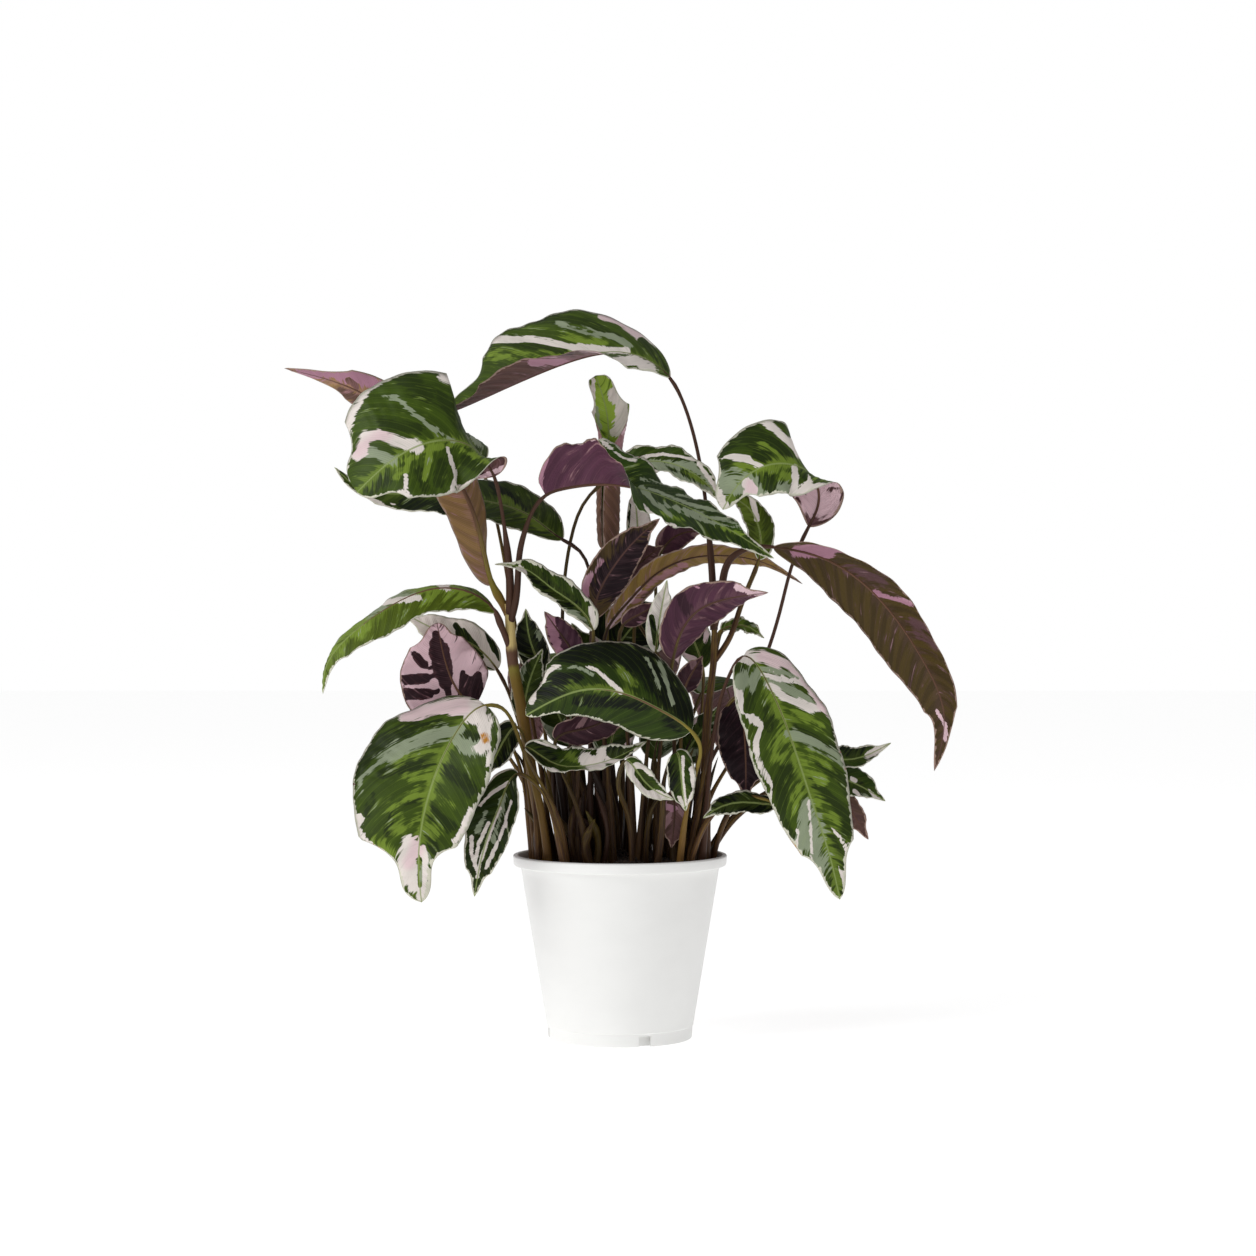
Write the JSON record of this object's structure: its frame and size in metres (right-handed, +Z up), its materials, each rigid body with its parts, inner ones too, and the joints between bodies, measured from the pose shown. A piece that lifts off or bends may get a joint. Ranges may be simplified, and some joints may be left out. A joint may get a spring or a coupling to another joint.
{
  "type": "potted white fusion calathea",
  "caption": "Bushy potted foliage plant with long-stalked leaves splashed green and white above and purple below, growing from soil in a round white nursery pot.",
  "frame": {"origin": "centre of the pot's base, on the surface that it stands on", "axes": "+Z up, -Y towards the front of the plant, +X to the right seen from the front"},
  "size_m": [0.4663, 0.2554, 0.5122],
  "materials": {
    "pot_plastic": "white injection-moulded plastic, satin",
    "soil": "dark moist potting soil, matte",
    "leafy_stem": "stem and the leaves that share it: green and white above, purple below, satin",
    "leaf_green": "green blade with white margins and feathered stripes, purple below, satin",
    "leaf_pale": "mostly white and sage blade, satin",
    "leaf_olive": "olive underside, satin",
    "leaf_purple": "purple underside with pink patches, satin",
    "leaf_scroll": "young leaf still rolled, tan outside and yellow-green inside"
  },
  "bodies": {
    "root": {"leaf_brown_back": "leaf_purple", "leaf_centre": "leaf_green", "leaf_centre_back": "leaf_green", "leaf_cupped": "leaf_green", "leaf_dark_back": "leaf_green", "leaf_dark_centre": "leaf_green", "leaf_dark_spear": "leaf_green", "leaf_far_right_high": "leaf_green", "leaf_far_right_low": "leaf_green", "leaf_far_right_under": "leaf_purple", "leaf_front_curl": "leaf_green", "leaf_front_droop": "leaf_purple", "leaf_front_tip": "leaf_green", "leaf_knot": "leaf_purple", "leaf_left_blotched": "leaf_green", "leaf_left_low": "leaf_green", "leaf_left_mid": "leaf_green", "leaf_left_shade": "leaf_green", "leaf_left_small": "leaf_green", "leaf_left_turned": "leaf_purple", "leaf_olive": "leaf_olive", "leaf_pale_curl": "leaf_pale", "leaf_pink_back": "leaf_purple", "leaf_purple": "leaf_purple", "leaf_rear_centre": "leaf_green", "leaf_rear_high_left": "leaf_green", "leaf_rear_left": "leaf_green", "leaf_rear_low_left": "leaf_green", "leaf_rear_low_right": "leaf_green", "leaf_rear_right": "leaf_green", "leaf_right_face": "leaf_green", "leaf_right_front": "leaf_green", "leaf_right_low": "leaf_green", "leaf_right_shade": "leaf_purple", "leaf_rolled_dark": "leaf_purple", "leaf_scroll": "leaf_scroll", "leaf_shade_1": "leaf_purple", "leaf_shade_2": "leaf_green", "leaf_shade_3": "leaf_purple", "leaf_shade_4": "leaf_green", "leaf_shade_5": "leaf_purple", "leaf_shade_6": "leaf_green", "leaf_shade_7": "leaf_purple", "leaf_under_hero": "leaf_purple", "leaf_violet_back": "leaf_purple", "leaf_white_centre": "leaf_pale", "leaf_white_spear": "leaf_pale", "pot": "pot_plastic", "soil": "soil", "stem_left": "leafy_stem", "stem_right": "leafy_stem"}
  },
  "joints": []
}
